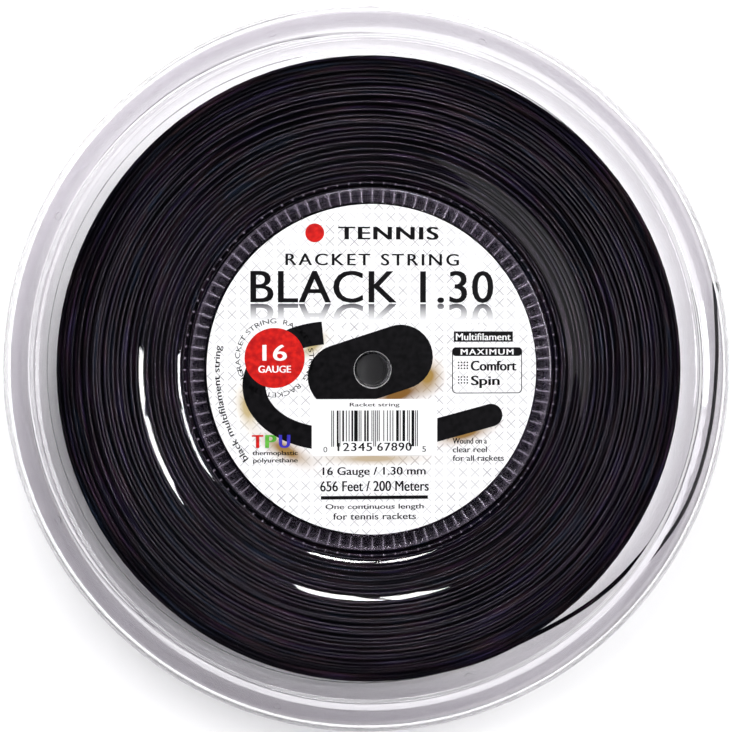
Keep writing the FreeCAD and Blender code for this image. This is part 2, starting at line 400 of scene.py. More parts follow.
def clear_plastic():
    """Clear polystyrene with the faint flow ripple of a moulding, a painted shade that tints the rim
    greyer, and a thin outer edge.
    """
    material, tree, shader, output = new_material("clear_polystyrene")
    clear, rim_painted_shade = (0.993, 0.990, 0.996), (0.76, 0.74, 0.77)
    # painted shade: the rim is tinted grey between these radii
    tint = ramp_by_radius(tree, RIM_PAINTED_SHADE_RADII, (clear, rim_painted_shade, rim_painted_shade, clear))
    set_inputs(shader, Base_Color=tint, Roughness=0.02, IOR=PLASTIC_IOR, Transmission_Weight=1.0)
    bump(shader, noise(tree, 55), 0.06, 0.0006)
    outer_edge = calculate("GREATER_THAN", axis_distance(tree)[0], RIM_EDGE_RADIUS * MM)
    thin = calculate("MULTIPLY", outer_edge, RIM_EDGE_CLEARNESS)
    let_lamps_through(shader, output, (0.990, 0.988, 0.992), thin)
    return material


def core_plastic():
    """The clear core's plastic: faintly cloudy, with painted highlights along each wall's crest and the
    outer edge, where it is paler and less clear.
    """
    material, tree, shader, output = new_material("core_polystyrene")
    set_inputs(shader, Base_Color=(0.52, 0.46, 0.56), Roughness=0.08, IOR=PLASTIC_IOR)
    radius, x, y = axis_distance(tree)
    turn = calculate("MULTIPLY", calculate("ARCTAN2", y, x), CELL_COUNT / tau)
    turn_share = calculate("FRACT", calculate("ADD", turn, 0.5))
    from_crest = calculate("ABSOLUTE", calculate("SUBTRACT", turn_share, 0.5))
    # painted highlight: thin pale bands along each wall's crest and along the collar's outer edge, where
    # the plastic is made less clear
    crest = calculate("MULTIPLY", calculate("LESS_THAN", from_crest, 0.05), 0.24)
    edge = calculate("GREATER_THAN", radius, (COLLAR_OUTER_RADIUS - 0.75) * MM)
    edge = calculate("MULTIPLY", edge, 0.05)
    cloud = spread(noise(tree, 900, 3.0), 0.0, 0.03)
    cloud_and_painted_highlight = calculate("ADD", calculate("MAXIMUM", crest, edge), cloud)
    outside_drum = calculate("GREATER_THAN", radius, CLOUD_AND_HIGHLIGHT_INNER_RADIUS * MM)
    cloud_and_painted_highlight = calculate("MULTIPLY", cloud_and_painted_highlight, outside_drum)
    set_inputs(shader, Transmission_Weight=calculate("SUBTRACT", 1.0, cloud_and_painted_highlight))
    bump(shader, noise(tree, 700), 0.1, 0.0001)
    let_lamps_through(shader, output, (0.90, 0.90, 0.93))
    return material


def along_turns(tree, turns_apart):
    """Coordinates that change quickly from turn to turn and slowly along each turn."""
    radius, x, y = axis_distance(tree)
    vector = new_node(tree, "CombineXYZ", Z=calculate("DIVIDE", radius, turns_apart * MM))
    for socket, value in zip(vector.inputs, (x, y)):
        feed(socket, calculate("MULTIPLY", calculate("DIVIDE", value, radius), 4.0))
    return vector.outputs["Vector"]


def string_material():
    """Glossy black string whose turns differ in roughness and colour, with purple, brown and blue casts
    that are a random tone and partly a painted highlight along the brighter turns.

    Only the crest of each turn shines, the flanks between turns getting a painted shade; the outer turns
    shine less than the rest, also a painted shade.
    """
    material, tree, shader, _ = new_material("black_string")
    streaks = noise(tree, 1.0, 2.0, along_turns(tree, 0.9))
    # the casts are a random tone from turn to turn, and partly a painted highlight along the brighter
    # turns
    cast_and_painted_highlight = ramp(noise(tree, 1.0, 1.0, along_turns(tree, 2.6)), (
        (0.36, (0.015, 0.011, 0.030)),
        (0.46, (0.023, 0.010, 0.022)),
        (0.56, (0.022, 0.013, 0.013)),
        (0.66, (0.009, 0.015, 0.028)),
    ))
    share = calculate("POWER", spread(streaks, 0.0, 1.0), 3.0)
    # painted shade: the flanks of each turn don't shine, in place of the shade between neighbouring turns
    crest = spread(calculate("ABSOLUTE", upwardness(tree)), 0.0, 1.0, *CREST_UPWARDNESS)
    # painted shade: the outermost turns shine less
    shine = ramp_by_radius(tree, PAINTED_SHADE_TURN_RADII, ((1.0, 1.0, 1.0), (0.12, 0.12, 0.12)))
    tangent = new_node(tree, "Tangent")
    tangent.direction_type = "RADIAL"
    tangent.axis = "Z"
    set_inputs(
        shader,
        Base_Color=mix_colour(share, (0.0003, 0.0003, 0.0006), cast_and_painted_highlight),
        Roughness=spread(streaks, 0.27, 0.13),
        IOR=STRING_IOR,
        Specular_IOR_Level=calculate("MULTIPLY", shine, crest),
        Specular_Tint=(0.90, 0.80, 1.0),
        Anisotropic=1.0,
        Tangent=tangent.outputs["Tangent"],
    )
    bump(shader, noise(tree, 2500), 0.12, 0.00004)
    return material


def soft_blob(tree, centre, size, angle):
    """One at the middle of an oval and none at its edge; centre and size in millimetres."""
    mapping = new_node(
        tree,
        "Mapping",
        Vector=new_node(tree, "TexCoord").outputs["Object"],
        Location=(centre[0] * MM, centre[1] * MM, MID + LABEL_TOP * MM),
        Rotation=(0, 0, radians(angle)),
        Scale=(size[0] * MM, size[1] * MM, 1),
    )
    mapping.vector_type = "TEXTURE"
    gradient = new_node(tree, "TexGradient", Vector=mapping.outputs["Vector"])
    gradient.gradient_type = "QUADRATIC_SPHERE"
    return gradient.outputs["Fac"]


def cross_lattice(tree, cell):
    """One on the strokes of small crosses that repeat every cell, in metres."""
    x, y, _ = parts(place(tree, (1 / cell, 1 / cell, 1)))
    across, along = (
        calculate("ABSOLUTE", calculate("SUBTRACT", calculate("FRACT", part), 0.5))
        for part in (x, y)
    )
    stroke = calculate("ABSOLUTE", calculate("SUBTRACT", across, along))
    on_stroke = calculate("LESS_THAN", stroke, 0.06)
    inside = calculate("LESS_THAN", across, 0.36)
    return calculate("MULTIPLY", on_stroke, inside)


def label_paper():
    """White paper, printed on top with a pale lattice of crosses and a few soft gold-brown shades."""
    material, tree, shader, _ = new_material("label_paper")
    printed = calculate("GREATER_THAN", upwardness(tree), 0.5)
    worn = spread(noise(tree, 90), 0.25, 0.85)
    crosses = calculate("MULTIPLY", cross_lattice(tree, LATTICE_CELL * MM), worn)
    crosses = calculate("MULTIPLY", crosses, printed)
    paper = noisy_ramp(tree, 120, 3.0, (0.81, 0.81, 0.825), (0.86, 0.855, 0.865))
    colour = mix_colour(crosses, paper, (0.30, 0.29, 0.31))
    for centre, size, angle, shade in LABEL_SHADES:
        strength = calculate("MULTIPLY", soft_blob(tree, centre, size, angle), 1.5)
        strength = calculate("MINIMUM", strength, printed)
        colour = mix_colour(strength, colour, shade)
    set_inputs(shader, Base_Color=colour, Roughness=spread(noise(tree, 400), 0.42, 0.55), IOR=1.45)
    bump(shader, noise(tree, 1800, 3.0), 0.1, 0.00003)
    return material


def sticker_paper():
    """Matt white sticker paper with a fine grain."""
    material, tree, shader, _ = new_material("sticker_paper")
    grain = noisy_ramp(tree, 700, 4.0, (0.78, 0.78, 0.79), (0.83, 0.83, 0.83))
    set_inputs(shader, Base_Color=grain, Roughness=spread(noise(tree, 500), 0.55, 0.7))
    bump(shader, noise(tree, 2200, 3.0), 0.12, 0.00003)
    return material


def ink(name, dark, light):
    """Printed ink: two close tones broken up by a fine noise."""
    material, tree, shader, _ = new_material(name)
    tone = noisy_ramp(tree, 650, 4.0, dark, light, 0.35, 0.65)
    rough = spread(noise(tree, 450), 0.3, 0.45)
    set_inputs(shader, Base_Color=tone, Roughness=rough, Specular_IOR_Level=0.12)
    return material


def fading_ink(top, bottom):
    """Grey ink that fades to paper white from the height top down to bottom, in millimetres."""
    material, tree, shader, _ = new_material("fading_ink")
    level = spread(parts(place(tree))["Y"], 0.0, 1.0, bottom * MM, top * MM)
    tone = ramp(level, ((0.0, (0.80, 0.80, 0.81)), (1.0, (0.09, 0.088, 0.10))))
    set_inputs(shader, Base_Color=tone, Roughness=spread(noise(tree, 450), 0.35, 0.5))
    return material


def floor_material():
    """A plain pale floor with a barely visible mottle."""
    material, tree, shader, _ = new_material("pale_floor")
    tone = noisy_ramp(tree, 3, 3.0, (0.93, 0.93, 0.935), (0.95, 0.95, 0.95))
    set_inputs(shader, Base_Color=tone, Roughness=0.9, Specular_IOR_Level=0.0)
    return material


# ---- mesh building

def new_object(name, data):
    """A new object, linked into the scene."""
    piece = bpy.data.objects.new(name, data)
    bpy.context.scene.collection.objects.link(piece)
    return piece


def add_object(name, mesh, material, node_slot=None):
    """A new object of one material, which rides on the reel if it has a slot."""
    piece = new_object(name, mesh)
    mesh.materials.clear()
    mesh.materials.append(material)
    if node_slot:
        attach(piece, "root")
    return piece


def evaluated_mesh(piece):
    """A new mesh of the piece's shape, with its modifiers applied."""
    bpy.context.view_layer.update()
    depsgraph = bpy.context.evaluated_depsgraph_get()
    return bpy.data.meshes.new_from_object(piece.evaluated_get(depsgraph))


def mesh_from(name, vertices, faces):
    """A mesh from points and faces."""
    mesh = bpy.data.meshes.new(name)
    mesh.from_pydata(vertices, [], faces)
    mesh.validate()
    return mesh


def write_mesh(work, mesh):
    """Puts the bmesh's shape into the mesh."""
    work.to_mesh(mesh)
    work.free()
    return mesh


def face_outwards(mesh):
    """Makes the normals of a closed mesh point out."""
    work = bmesh.new()
    work.from_mesh(mesh)
    bmesh.ops.recalc_face_normals(work, faces=work.faces)
    write_mesh(work, mesh)


def shade_smooth(mesh, angle):
    """Smooth shading, with edges sharper than the angle left sharp."""
    mesh.polygons.foreach_set("use_smooth", [True] * len(mesh.polygons))
    mesh.set_sharp_from_angle(angle=radians(angle))


def turned_over(mesh, name):
    """A copy of the mesh, turned over about the reel's middle plane."""
    copy = mesh.copy()
    copy.name = name
    about_middle = Matrix.Translation((0, 0, MID)) @ Matrix.Rotation(pi, 4, "X")
    copy.transform(about_middle @ Matrix.Translation((0, 0, -MID)))
    return copy


def polar(radius, angle, height=0.0):
    """The point at a radius, an angle in radians and a height."""
    return radius * cos(angle), radius * sin(angle), height


def grid_faces(rows, columns, closed):
    """Quads of a grid whose rows close up on themselves; its last row joins the first if closed."""
    row = np.arange(rows if closed else rows - 1)[:, None]
    column = np.arange(columns)[None, :]
    here, there = row * columns, (row + 1) % rows * columns
    after = (column + 1) % columns
    corners = (here + column, here + after, there + after, there + column)
    return np.stack(corners, axis=-1).reshape(-1, 4).tolist()


def lathe(name, section, segments):
    """A closed section of (radius, height) in millimetres, turned about the reel's axis."""
    turns = np.arange(segments) * (tau / segments)
    radii, heights = np.array(section).T * MM
    vertices = np.stack([
        np.outer(np.cos(turns), radii),
        np.outer(np.sin(turns), radii),
        np.tile(MID + heights, (segments, 1)),
    ], axis=-1).reshape(-1, 3)
    mesh = mesh_from(name, vertices.tolist(), grid_faces(segments, len(section), True))
    face_outwards(mesh)
    return mesh


def straight(start, end, support=0.35):
    """Points from start towards end, with one near each end to hold the shading of a flat."""
    length = dist(start, end)
    if length < 3 * support:
        return [start]
    share = support / length
    return [
        start,
        tuple(a + (b - a) * share for a, b in zip(start, end)),
        tuple(a + (b - a) * (1 - share) for a, b in zip(start, end)),
    ]


def straights(corners):
    """Points along straight lines through the corners, without the last one."""
    return [point for start, end in zip(corners, corners[1:]) for point in straight(start, end)]


def arc(centre, radius, start, end):
    """Points on an arc from the angle start to end, without the last one."""
    steps = max(2, ceil(abs(end - start) / ARC_STEP))
    angles = [start + (end - start) * step / steps for step in range(steps)]
    return [(centre[0] + radius * cos(a), centre[1] + radius * sin(a)) for a in angles]


def s_curve(start, end, share, offset=0.0):
    """Two tangent arcs from a flat at start up to a flat at end, moved down by offset."""
    run = end[0] - start[0]
    turn = 2 * atan((end[1] - start[1]) / run)
    first_radius = share * run / sin(turn) + offset
    second_radius = (1 - share) * run / sin(turn) - offset
    first_centre = (start[0], start[1] - offset + first_radius)
    second_centre = (end[0], end[1] - offset - second_radius)
    down, up = -pi / 2, pi / 2
    first = arc(first_centre, first_radius, down, down + turn)
    return first + arc(second_centre, second_radius, up + turn, up)


def dish_curve(offset=0.0):
    """The dish between the hub disc and the web, at a depth under the outer skin."""
    share = (DISH_INFLECTION_RADIUS - DISH_INNER_RADIUS) / (DISH_OUTER_RADIUS - DISH_INNER_RADIUS)
    return s_curve((DISH_INNER_RADIUS, HUB_FACE), (DISH_OUTER_RADIUS, WEB_FACE), share, offset)


def inner_height(radius):
    """Height of the flange's inner skin above the middle plane, at a radius."""
    if radius <= DISH_INNER_RADIUS:
        return HUB_FACE - WALL
    if radius >= DISH_OUTER_RADIUS:
        return WEB_FACE - WALL
    curve = dish_curve(WALL) + [(DISH_OUTER_RADIUS, WEB_FACE - WALL)]
    return float(np.interp(radius, [point[0] for point in curve], [point[1] for point in curve]))


def flange_section():
    """The closed outline of the front flange, from the bore round the outside and back."""
    inner_rim = OUTER_RADIUS - RIM_WALL
    slit = RIM_SLIT / 2
    hub_inside = HUB_FACE - WALL
    web_inside = WEB_FACE - WALL
    outer_shoulder = (OUTER_RADIUS - SHOULDER_INSET, CONE_FOOT[1] - RIM_SHOULDER / 2)
    inner_shoulder = (inner_rim - SHOULDER_INSET, INNER_CONE_FOOT[1] - RIM_SHOULDER / 2)
    spigot_end = hub_inside - SPIGOT_LENGTH
    corners_outside = [
        (BEAD_CROWN_RADIUS, HALF_THICKNESS),
        (BEAD_OUTER_RADIUS, HALF_THICKNESS),
        (CONE_FOOT[0] - CONE_EASE, CONE_FOOT[1]),
        outer_shoulder,
        (OUTER_RADIUS, CONE_FOOT[1] - RIM_SHOULDER),
        (OUTER_RADIUS, slit + EDGE_ROUND),
        (OUTER_RADIUS - EDGE_ROUND, slit), (inner_rim + EDGE_ROUND, slit),
        (inner_rim, slit + EDGE_ROUND),
        (inner_rim, INNER_CONE_FOOT[1] - RIM_SHOULDER),
        inner_shoulder,
        INNER_CONE_FOOT,
        (INNER_CONE_TOP_RADIUS, web_inside),
        (DISH_OUTER_RADIUS, web_inside),
    ]
    corners_inside = [
        (DISH_INNER_RADIUS, hub_inside),
        (SPIGOT_OUTER, hub_inside),
        (SPIGOT_OUTER, spigot_end),
        (SPIGOT_INNER, spigot_end),
        (SPIGOT_INNER, hub_inside),
        (BOSS_RADIUS, hub_inside),
        (BOSS_RADIUS, CLEARANCE),
        (BORE_RADIUS, CLEARANCE),
        (BORE_RADIUS, HUB_FACE - BORE_CHAMFER),
        (BORE_RADIUS + BORE_CHAMFER, HUB_FACE),
    ]
    section = straight((BORE_RADIUS + BORE_CHAMFER, HUB_FACE), (DISH_INNER_RADIUS, HUB_FACE))
    section += dish_curve()
    section += straight((DISH_OUTER_RADIUS, WEB_FACE), (BEAD_INNER_RADIUS, WEB_FACE))
    section += s_curve((BEAD_INNER_RADIUS, WEB_FACE), (BEAD_CROWN_RADIUS, HALF_THICKNESS), 0.5)
    section += straights(corners_outside)
    section += reversed(dish_curve(WALL)[1:])
    return section + straights(corners_inside)


def mark_cutters():
    """Short cylinders square to the cone, one for each mould mark."""
    run = CONE_FOOT[0] - BEAD_OUTER_RADIUS
    fall = HALF_THICKNESS - CONE_FOOT[1]
    slope = atan2(fall, run)
    work = bmesh.new()
    for angle, radius in MOULD_MARKS:
        turn = radians(angle)
        skin = HALF_THICKNESS - fall * (radius - BEAD_OUTER_RADIUS) / run
        centre = Vector(polar(radius, turn, skin)) * MM
        outward = Vector(polar(sin(slope), turn, cos(slope)))
        tilted = Vector((0, 0, 1)).rotation_difference(outward).to_matrix().to_4x4()
        bmesh.ops.create_cone(
            work,
            cap_ends=True,
            segments=48,
            radius1=MOULD_MARK_RADIUS * MM,
            radius2=MOULD_MARK_RADIUS * MM,
            depth=2 * MOULD_MARK_DEPTH * MM,
            matrix=Matrix.Translation(centre + Vector((0, 0, MID))) @ tilted,
        )
    return write_mesh(work, bpy.data.meshes.new("mark_cutters"))


def cut_away(mesh, cutter):
    """The mesh without the space inside the cutter."""
    pieces = [new_object(each.name, each) for each in (mesh, cutter)]
    modifier = pieces[0].modifiers.new("cut", "BOOLEAN")
    modifier.operation = "DIFFERENCE"
    modifier.solver = "EXACT"
    modifier.object = pieces[1]
    result = evaluated_mesh(pieces[0])
    for piece in pieces:
        bpy.data.objects.remove(piece)
    return result


def make_flanges(material):
    """Both clear halves, which come from one mould."""
    whole = lathe("front_flange_whole", flange_section(), FLANGE_SEGMENTS)
    mesh = cut_away(whole, mark_cutters())
    mesh.name = "front_flange_clear"
    shade_smooth(mesh, 25)
    rear_mesh = turned_over(mesh, "rear_flange_clear")
    front = add_object("front_flange_clear", mesh, material, "clear_plastic")
    rear = add_object("rear_flange_clear", rear_mesh, material, "clear_plastic")
    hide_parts("front_flange")
    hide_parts("rear_flange")


# ---- the core

def in_cells(radius):
    """Whether a radius lies within the ring of open cells."""
    return CELL_INNER_RADIUS < radius < CELL_OUTER_RADIUS


def half_wall(radius):
    """Half the width of the wall between two cells at a radius, or a plain share where there are none."""
    half_pitch = pi * radius / CELL_COUNT
    if not in_cells(radius):
        return half_pitch * CLOSED_WALL_SHARE
    beyond = min(max(radius - CELL_OUTER_RADIUS + CELL_WIDTH / 2, 0.0), CELL_WIDTH / 2)
    return half_pitch - sqrt((CELL_WIDTH / 2) ** 2 - beyond ** 2)


def collar_height(radius):
    """Height of the collar's crest at a radius: its inner and outer edges are rounded."""
    edge = min(radius - DRUM_INNER_RADIUS, COLLAR_OUTER_RADIUS - radius)
    drop = max(COLLAR_ROUND - edge, 0.0)
    return COLLAR_TOP - COLLAR_ROUND + sqrt(max(COLLAR_ROUND ** 2 - drop ** 2, 0.0))


def wall_point(radius, middle, share):
    """A point on the rounded crest of the wall about the angle middle, at a share of its half width."""
    sag = WALL_ROUND * (1 - sqrt(1 - min(abs(share), 0.999) ** 2)) if in_cells(radius) else 0.0
    return polar(radius, middle + share * half_wall(radius) / radius, collar_height(radius) - sag)


def floor_points(radius, middle):
    """Three points across the floor of the cell that follows the wall about the angle middle."""
    pitch = tau * radius / CELL_COUNT
    foot = half_wall(radius) + WALL_FOOT
    height = COLLAR_BOTTOM + CELL_FLOOR if in_cells(radius) else collar_height(radius)
    return [polar(radius, middle + along / radius, height) for along in (foot, pitch / 2, pitch - foot)]


def collar_mesh(name):
    """The ring of cells at one end of the core: thin walls with rounded crests round open cells."""
    shares = [-share for share in reversed(HALF_WALL_SHARES[1:])] + list(HALF_WALL_SHARES)
    vertices = []
    for cell in range(CELL_COUNT):
        middle = tau * cell / CELL_COUNT
        for share in shares:
            vertices += [wall_point(radius, middle, share) for radius in COLLAR_RADII]
        for column in zip(*(floor_points(radius, middle) for radius in COLLAR_RADII)):
            vertices += column
    return ring_solid(name, vertices, len(COLLAR_RADII))


def ring_solid(name, vertices, count):
    """A closed ring from columns of count top points, with a flat foot under them."""
    columns = len(vertices) // count
    top = [(x * MM, y * MM, MID + z * MM) for x, y, z in vertices]
    foot = [(x, y, MID + COLLAR_BOTTOM * MM) for x, y, _ in top]
    under = len(top)
    faces = []
    for column in range(columns):
        here, there = column * count, (column + 1) % columns * count
        for index in range(count - 1):
            square = (here + index, here + index + 1, there + index + 1, there + index)
            faces.append(square)
            faces.append(tuple(under + corner for corner in reversed(square)))
        for index in (0, count - 1):
            faces.append((here + index, there + index, under + there + index, under + here + index))
    mesh = mesh_from(name, top + foot, faces)
    face_outwards(mesh)
    shade_smooth(mesh, 50)
    return mesh


def pip_ring(name):
    """Small round pips, one in line with each cell wall."""
    work = bmesh.new()
    for cell in range(CELL_COUNT):
        centre = Vector(polar(PIP_RADIUS, tau * cell / CELL_COUNT, PIP_HEIGHT)) * MM
        at_place = Matrix.Translation(centre + Vector((0, 0, MID)))
        bmesh.ops.create_icosphere(work, subdivisions=2, radius=PIP_SIZE * MM, matrix=at_place)
    mesh = write_mesh(work, bpy.data.meshes.new(name))
    shade_smooth(mesh, 60)
    return mesh


def make_core(material):
    """The clear drum inside the winding, and the ring of cells at each of its ends."""
    reach = COLLAR_BOTTOM + CLEARANCE
    drum = lathe("core_drum", [
        (DRUM_INNER_RADIUS, -reach),
        (DRUM_OUTER_RADIUS, -reach),
        (DRUM_OUTER_RADIUS, reach),
        (DRUM_INNER_RADIUS, reach),
    ], FLANGE_SEGMENTS)
    shade_smooth(drum, 30)
    front = collar_mesh("core_front_collar")
    rear = turned_over(front, "core_rear_collar")
    for mesh in (drum, front, rear, pip_ring("core_front_pips")):
        piece = add_object(mesh.name, mesh, material, "clear_plastic")
        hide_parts("hub_core")


# ---- the string

def layer_span(layer):
    """A layer's radius, and how far its outermost turns lie from the middle plane.

    Every other layer stops half a turn short, because its turns lie in the grooves of the one below.
    """
    radius = FIRST_LAYER_RADIUS + LAYER_PITCH * layer
    if radius - STRING_RADIUS < COLLAR_RADIUS:
        lowest_skin = COLLAR_INNER_FACE
    else:
        lowest_skin = min(inner_height(radius + shift) for shift in (-2 * STRING_RADIUS, 0, STRING_RADIUS))
    return radius, lowest_skin - STRING_RADIUS - CLEARANCE - layer % 2 * TURN_PITCH / 2


def layer_angle(layer):
    """How far the string turns about the axis while it fills one layer."""
    reach = layer_span(layer)[1]
    return tau * (2 * reach / TURN_PITCH + 1)


def wander(angle, waves):
    """A smooth, never repeating sideways drift along the string."""
    return sum(amount * np.sin(rate * angle + phase) for amount, rate, phase in waves)


def ease_in_out(share):
    """A share from none to one that starts and ends gently."""
    return share * share * (3 - 2 * share)


def layer_line(layer, start_angle):
    """Points on the string's line through one layer: angle, radius and height."""
    radius, reach = layer_span(layer)
    angle = layer_angle(layer)
    steps = int(TURN_STEPS * angle / tau)
    share = np.linspace(0, 1, steps + 1)
    angles = start_angle + share * angle
    side = 1 if layer % 2 == 0 else -1
    dwell = pi / angle
    travel = np.clip((share - dwell) / (1 - 2 * dwell), 0, 1)
    heights = side * (2 * travel - 1) * reach
    next_radius, next_reach = layer_span(min(layer + 1, LAYER_COUNT - 1))
    climb = np.clip((share - 1 + dwell) / dwell, 0, 1)
    climb = ease_in_out(climb)
    heights = heights + side * climb * (next_reach - reach)
    loose = min(1.0, max(0.15, (LAYER_COUNT - 1 - layer) / 3))
    radii = radius + climb * (next_radius - radius) + loose * wander(angles, RADIAL_DRIFT)
    radii = np.maximum(radii, FIRST_LAYER_RADIUS)
    edge = reach + climb * (next_reach - reach)
    heights = np.clip(heights + wander(angles, AXIAL_DRIFT), -edge, edge)
    return angles, radii, heights


def closing_line(start_angle, start_radius, start_height):
    """The last part turn, from the end of the last layer to where the free end starts."""
    end_angle, end_radius = TAIL_ROUTE[0]
    share = np.linspace(0, 1, CLOSING_STEPS)
    ease = ease_in_out(share)
    angles = start_angle + share * radians(end_angle - LAST_LAYER_END)
    return angles, start_radius + ease * (end_radius - start_radius), start_height * (1 - ease)


def tube_mesh(name, angles, radii, heights):
    """A closed round tube about a line that runs round the reel's axis."""
    around = np.arange(SECTION_SIDES) * (tau / SECTION_SIDES)
    ring_radii = radii[:, None] + STRING_RADIUS * np.cos(around)[None, :]
    ring_heights = heights[:, None] + STRING_RADIUS * np.sin(around)[None, :]
    vertices = np.stack([
        ring_radii * np.cos(angles)[:, None] * MM,
        ring_radii * np.sin(angles)[:, None] * MM,
        MID + ring_heights * MM,
    ], axis=-1).reshape(-1, 3)
    last = (len(angles) - 1) * SECTION_SIDES
    caps = [tuple(range(SECTION_SIDES)), tuple(range(last, last + SECTION_SIDES))]
    faces = grid_faces(len(angles), SECTION_SIDES, False) + caps
    mesh = mesh_from(name, vertices.tolist(), faces)
    face_outwards(mesh)
    shade_smooth(mesh, 60)
    return mesh


def line_length(angles, radii, heights):
    """Length of a line in millimetres."""
    places = np.stack([radii * np.cos(angles), radii * np.sin(angles), heights], axis=-1)
    return float(np.linalg.norm(np.diff(places, axis=0), axis=1).sum())


def make_winding(material):
    """All the turns, as one line wound to and fro in layers, with a piece for each layer."""
    whole_angle = sum(layer_angle(layer) for layer in range(LAYER_COUNT))
    angle = radians(LAST_LAYER_END) - whole_angle
    lines = []
    for layer in range(LAYER_COUNT):
        lines.append(layer_line(layer, angle))
        angle += layer_angle(layer)
    _, last_radii, last_heights = lines[-1]
    lines.append(closing_line(angle, last_radii[-1], last_heights[-1]))
    for index, line in enumerate(lines):
        name = "string_layer_%02d" % (index + 1)
        piece = add_object(name, tube_mesh(name, *line), material, "string")
        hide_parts("string_winding")
    print("string in the winding: %.2f m" % (sum(line_length(*line) for line in lines) * MM))


def make_tail(material):
    """The free end: a smooth line from the last turn out to the slit, cut square."""
    curve = bpy.data.curves.new("string_tail_cord", "CURVE")
    curve.dimensions = "3D"
    curve.bevel_depth = STRING_RADIUS * MM
    curve.bevel_resolution = 5
    curve.use_fill_caps = True
    spline = curve.splines.new("NURBS")
    spline.points.add(len(TAIL_ROUTE) - 1)
    for point, (angle, radius) in zip(spline.points, TAIL_ROUTE):
        point.co = (*polar(radius * MM, radians(angle), MID), 1)
    spline.order_u = 3
    spline.use_endpoint_u = True
    spline.resolution_u = 12
    curve.materials.append(material)
    tail = new_object("string_tail_cord", curve)
    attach(tail, "root")
    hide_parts("string_tail")


# ---- label and print

def letter_shapes(body, spacing=1.0):
    """A text in the built-in font: its points, in a box of one by one about zero, and its faces."""
    curve = bpy.data.curves.new("letters", "FONT")
    curve.body = body
    curve.space_character = spacing
    curve.resolution_u = 4
    holder = new_object("letters", curve)
    mesh = evaluated_mesh(holder)
    bpy.data.objects.remove(holder)
    bpy.data.curves.remove(curve)
    points = np.array([vertex.co[:2] for vertex in mesh.vertices])
    low, high = points.min(axis=0), points.max(axis=0)
    return (points - low) / (high - low) - 0.5, [tuple(face.vertices) for face in mesh.polygons]


def bold_copies(bold):
    """Sideways shifts and depths of the copies that make a text bold, in millimetres."""
    if not bold:
        return ((0.0, 0.0),)
    return ((-bold / 2, 0.0), (0.0, 0.003), (bold / 2, 0.006))


class Print:
    """Flat printed shapes of one ink, gathered into one piece."""

    def __init__(self, name, material, level, node_slot="label_paper"):
        self.name = name
        self.material = material
        self.level = level
        self.node_slot = node_slot
        self.points = []
        self.faces = []

    def add(self, points, faces, sink=0.0):
        """Adds flat faces, with their points in millimetres, a little under the level if sunk."""
        base = len(self.points)
        self.points += [(x * MM, y * MM, MID + (self.level - sink) * MM) for x, y in points]
        self.faces += [tuple(base + index for index in face) for face in faces]

    def polygon(self, points):
        """Adds one outline as a face."""
        self.add(points, [tuple(range(len(points)))])

    def box(self, left, right, bottom, top, corner=0.0):
        """Adds a rectangle, with round corners if corner is more than zero."""
        self.polygon(rounded_box(left, right, bottom, top, corner))

    def text(self, body, x, y, width, height, bold=0.0, spacing=1.0):
        """Adds a line of text about its centre, mirrored if the height is below zero."""
        points, faces = letter_shapes(body, spacing)
        points = points * (width - bold, height) + (x, y)
        for shift, sink in bold_copies(bold):
            self.add(points + (shift, 0), faces, sink)

    def ring_text(self, body, centre, radius, start, end, height, bold=0.0):
        """Adds text bent round a circle, clockwise from the angle start to end, its top outwards."""
        points, faces = letter_shapes(body)
        turns = np.radians(start + (end - start) * (points[:, 0] + 0.5))
        reach = radius + points[:, 1] * height
        for shift, sink in bold_copies(bold):
            turn = turns + shift / radius
            self.add(np.stack([reach * np.cos(turn), reach * np.sin(turn)], axis=-1) + centre, faces, sink)

    def make(self):
        """Makes the piece, a thin film of ink at its level."""
        mesh = mesh_from(self.name, self.points, self.faces)
        work = bmesh.new()
        work.from_mesh(mesh)
        for face in work.faces:
            if face.normal.z < 0:
                face.normal_flip()
        bmesh.ops.triangulate(work, faces=work.faces)
        add_object(self.name, write_mesh(work, mesh), self.material, self.node_slot)


def arc_points(centre, radii, start, end, steps):
    """Points along an oval arc from the angle start to end, in degrees."""
    turns = np.radians(np.linspace(start, end, steps + 1))
    return [(centre[0] + radii[0] * cos(t), centre[1] + radii[1] * sin(t)) for t in turns]


def disc_points(centre, radius, steps=64):
    """Outline points of a disc."""
    return arc_points(centre, (radius, radius), 0, 360, steps)[:-1]


def rounded_box(left, right, bottom, top, corner):
    """Outline points of a rectangle, with round corners if corner is more than zero."""
    if not corner:
        return [(left, bottom), (right, bottom), (right, top), (left, top)]
    points = []
    for x, y, start in (
        (right - corner, top - corner, 0),
        (left + corner, top - corner, 90),
        (left + corner, bottom + corner, 180),
        (right - corner, bottom + corner, 270),
    ):
        points += arc_points((x, y), (corner, corner), start, start + 90, 6)
    return points


def band_faces(inner, outer):
    """Points and faces of a band between two outlines of the same length."""
    count = len(inner)
    faces = [(i, i + 1, count + i + 1, count + i) for i in range(count - 1)]
    return list(inner) + list(outer), faces


def closed_band(inner, outer):
    """The same, closed round."""
    return band_faces(list(inner) + [inner[0]], list(outer) + [outer[0]])


def round_bar(centre, length, width, angle):
    """Outline points of a bar with half-round ends, turned about its centre."""
    half = (length - width) / 2
    points = []
    for turned in (angle, angle + 180):
        x, y, _ = polar(half, radians(turned))
        end_centre = (centre[0] + x, centre[1] + y)
        points += arc_points(end_centre, (width / 2, width / 2), turned - 90, turned + 90, 24)
    return points


def arc_band(centre, radii, width, start, end):
    """Points and faces of a stripe of even width along an oval arc, with square ends."""
    inner, outer = (
        arc_points(centre, (radii[0] + side, radii[1] + side), start, end, 64)
        for side in (-width / 2, width / 2)
    )
    return band_faces(inner, outer)


